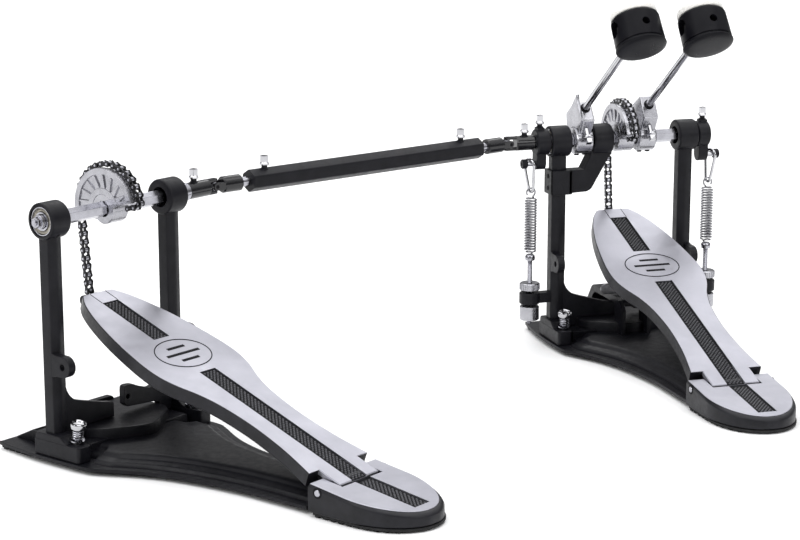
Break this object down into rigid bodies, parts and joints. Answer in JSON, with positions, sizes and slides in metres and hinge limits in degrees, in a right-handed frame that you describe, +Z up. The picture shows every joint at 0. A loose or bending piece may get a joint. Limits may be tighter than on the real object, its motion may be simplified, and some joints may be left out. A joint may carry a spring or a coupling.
{
  "type": "double bass drum pedal",
  "caption": "Twin bass drum pedal: a main footboard unit with two sprung beaters, chain drive and hoop clamp, joined by a jointed drive shaft to a remote footboard unit.",
  "frame": {"origin": "on the floor under the main pedal's cross shaft, midway between its two posts", "axes": "+Z up; +X along the main pedal's cross shaft, away from the remote pedal; +Y towards the drum"},
  "size_m": [0.7312, 0.5461, 0.357],
  "materials": {
    "black_coat": "satin black powder coat",
    "rubber_sole": "matt black",
    "bright_steel": "bright",
    "cast_grey": "satin cast grey",
    "chain_steel": "black oxide",
    "chrome": "polished",
    "black_plastic": "satin black",
    "white_felt": "pressed felt",
    "satin_alloy": "satin silver"
  },
  "bodies": {
    "floor_frame": {"main_base_plate": "black_coat", "main_sole": "rubber_sole", "main_post_left": "black_coat", "main_post_right": "black_coat", "mid_bracket": "black_coat", "main_bearing_left": "bright_steel", "main_bearing_middle": "bright_steel", "main_bearing_right": "bright_steel", "main_heel_plate": "satin_alloy", "main_heel_pin": "chrome", "remote_base_plate": "black_coat", "remote_sole": "rubber_sole", "remote_post_left": "black_coat", "remote_post_right": "black_coat", "remote_bearing_left": "bright_steel", "remote_bearing_right": "bright_steel", "remote_heel_plate": "satin_alloy", "remote_heel_pin": "chrome"},
    "right_rotor": {"main_shaft": "bright_steel", "main_sprocket": "cast_grey", "main_chain_wrap": "chain_steel", "beater_hub_right": "cast_grey", "spring_arm_right": "black_coat"},
    "left_rotor": {"left_shaft": "bright_steel", "beater_hub_left": "cast_grey", "spring_arm_left": "black_coat", "yoke_main": "black_coat"},
    "remote_rotor": {"remote_shaft": "bright_steel", "remote_sprocket": "cast_grey", "remote_chain_wrap": "chain_steel", "yoke_remote": "black_coat"},
    "drive_line": {"drive_rod_remote": "bright_steel", "drive_tube": "black_coat", "drive_rod_main": "bright_steel"},
    "main_board": {"main_footboard": "satin_alloy"},
    "remote_board": {"remote_footboard": "satin_alloy"},
    "main_chain": {"main_chain_hang": "chain_steel"},
    "remote_chain": {"remote_chain_hang": "chain_steel"},
    "remote_cross": {"cross_remote": "bright_steel"},
    "main_cross": {"cross_main": "bright_steel"},
    "jaw": {"hoop_clamp": "black_coat"},
    "wing": {"wing_screw": "cast_grey"},
    "left_spring": {"return_spring_left": "bright_steel", "tension_rod_left": "chrome"},
    "left_clip": {"spring_clip_left": "bright_steel"},
    "left_rod": {"beater_rod_left": "chrome"},
    "left_head": {"beater_head_left": "black_plastic", "beater_felt_left": "white_felt"},
    "main_left_spike": {"main_spike_left": "chrome"},
    "remote_left_spike": {"remote_spike_left": "chrome"},
    "right_spring": {"return_spring_right": "bright_steel", "tension_rod_right": "chrome"},
    "right_clip": {"spring_clip_right": "bright_steel"},
    "right_rod": {"beater_rod_right": "chrome"},
    "right_head": {"beater_head_right": "black_plastic", "beater_felt_right": "white_felt"},
    "main_right_spike": {"main_spike_right": "chrome"},
    "remote_right_spike": {"remote_spike_right": "chrome"}
  },
  "joints": [
    {"name": "right_swing", "type": "hinge", "parent": "floor_frame", "child": "right_rotor", "pos_m": [0, 0, 0.2], "axis": [-1, 0, 0], "range_deg": [0, 55], "stiffness_Nm_per_rad": 0.8, "springref_deg": -28.65},
    {"name": "main_board_tread", "type": "hinge", "parent": "floor_frame", "child": "main_board", "pos_m": [0, -0.256, 0.02], "axis": [-1, 0, 0], "range_deg": [0, 7.2]},
    {"name": "main_chain_bend", "type": "hinge", "parent": "right_rotor", "child": "main_chain", "pos_m": [0, 0.03447, 0.21618], "axis": [1, 0, 0], "range_deg": [0, 63]},
    {"name": "right_spring_tilt", "type": "hinge", "parent": "floor_frame", "child": "right_spring", "pos_m": [0.093, 0, 0.0475], "axis": [1, 0, 0], "range_deg": [0, 7.2]},
    {"name": "right_spring_stretch", "type": "slide", "parent": "right_spring", "child": "right_clip", "axis": [0, 0, 1], "range_m": [0, 0.0102], "deforming": ["return_spring_right"]},
    {"name": "remote_swing", "type": "hinge", "parent": "floor_frame", "child": "remote_rotor", "pos_m": [-0.5338, -0.1949, 0.2], "axis": [-0.8345, -0.5511, 0], "range_deg": [0, 55], "stiffness_Nm_per_rad": 0.8, "springref_deg": -28.65},
    {"name": "remote_board_tread", "type": "hinge", "parent": "floor_frame", "child": "remote_board", "pos_m": [-0.39273, -0.40852, 0.02], "axis": [-0.8345, -0.5511, 0], "range_deg": [0, 7.2]},
    {"name": "remote_chain_bend", "type": "hinge", "parent": "remote_rotor", "child": "remote_chain", "pos_m": [-0.5528, -0.16613, 0.21618], "axis": [0.8345, 0.5511, 0], "range_deg": [0, 63]},
    {"name": "drive_turn", "type": "hinge", "parent": "floor_frame", "child": "drive_line", "pos_m": [-0.43283, -0.12822, 0.2], "axis": [-0.9261, -0.3772, 0], "range_deg": [0, 56]},
    {"name": "remote_cross_pivot", "type": "hinge", "parent": "remote_rotor", "child": "remote_cross", "pos_m": [-0.43283, -0.12822, 0.2], "axis": [0, 0, 1], "range_deg": [0, 5.4]},
    {"name": "left_swing", "type": "hinge", "parent": "floor_frame", "child": "left_rotor", "pos_m": [-0.06, 0, 0.2], "axis": [-1, 0, 0], "range_deg": [0, 57]},
    {"name": "main_cross_pivot", "type": "hinge", "parent": "left_rotor", "child": "main_cross", "pos_m": [-0.118, 0, 0.2], "axis": [0, 0, 1], "range_deg": [-10.1, 0]},
    {"name": "left_spring_tilt", "type": "hinge", "parent": "floor_frame", "child": "left_spring", "pos_m": [-0.093, 0, 0.0475], "axis": [1, 0, 0], "range_deg": [0, 7.2]},
    {"name": "left_spring_stretch", "type": "slide", "parent": "left_spring", "child": "left_clip", "axis": [0, 0, 1], "range_m": [0, 0.0106], "deforming": ["return_spring_left"]},
    {"name": "left_rod_slide", "type": "slide", "parent": "left_rotor", "child": "left_rod", "axis": [0, -0.8131, 0.5821], "range_m": [-0.012, 0.02]},
    {"name": "left_head_turn", "type": "hinge", "parent": "left_rod", "child": "left_head", "pos_m": [-0.0425, -0.1296, 0.31788], "axis": [0, -0.8131, 0.5821], "range_deg": [-180, 180]},
    {"name": "right_rod_slide", "type": "slide", "parent": "right_rotor", "child": "right_rod", "axis": [0, -0.8131, 0.5821], "range_m": [-0.012, 0.02]},
    {"name": "right_head_turn", "type": "hinge", "parent": "right_rod", "child": "right_head", "pos_m": [0.023, -0.1296, 0.31788], "axis": [0, -0.8131, 0.5821], "range_deg": [-180, 180]},
    {"name": "main_left_spike_lift", "type": "slide", "parent": "floor_frame", "child": "main_left_spike", "axis": [0, -0.1822, 0.9833], "range_m": [0, 0.006]},
    {"name": "main_right_spike_lift", "type": "slide", "parent": "floor_frame", "child": "main_right_spike", "axis": [0, -0.1822, 0.9833], "range_m": [0, 0.006]},
    {"name": "remote_left_spike_lift", "type": "slide", "parent": "floor_frame", "child": "remote_left_spike", "axis": [0.1004, -0.1521, 0.9833], "range_m": [0, 0.006]},
    {"name": "remote_right_spike_lift", "type": "slide", "parent": "floor_frame", "child": "remote_right_spike", "axis": [0.1004, -0.1521, 0.9833], "range_m": [0, 0.006]},
    {"name": "jaw_open", "type": "hinge", "parent": "floor_frame", "child": "jaw", "pos_m": [0, -0.033, 0.0435], "axis": [1, 0, 0], "range_deg": [0, 8]},
    {"name": "wing_turn", "type": "hinge", "parent": "jaw", "child": "wing", "pos_m": [0, -0.012, 0.05], "axis": [0, 0, 1], "continuous": true}
  ],
  "couplings": [
    {"joint": "main_board_tread", "follows": "right_swing", "ratio": 0.12727},
    {"joint": "main_chain_bend", "follows": "right_swing", "ratio": 1.1219},
    {"joint": "right_spring_tilt", "follows": "right_swing", "ratio": 0.12371},
    {"joint": "right_spring_stretch", "follows": "right_swing", "m_per_rad": 0.010147},
    {"joint": "remote_board_tread", "follows": "remote_swing", "ratio": 0.12727},
    {"joint": "remote_chain_bend", "follows": "remote_swing", "ratio": 1.1219},
    {"joint": "drive_turn", "follows": "remote_swing", "ratio": 0.9903},
    {"joint": "remote_cross_pivot", "follows": "remote_swing", "ratio": 0.086408},
    {"joint": "left_swing", "follows": "remote_swing", "ratio": 1.0278},
    {"joint": "main_cross_pivot", "follows": "remote_swing", "ratio": -0.17267},
    {"joint": "left_spring_tilt", "follows": "remote_swing", "ratio": 0.12556},
    {"joint": "left_spring_stretch", "follows": "remote_swing", "m_per_rad": 0.010653}
  ]
}
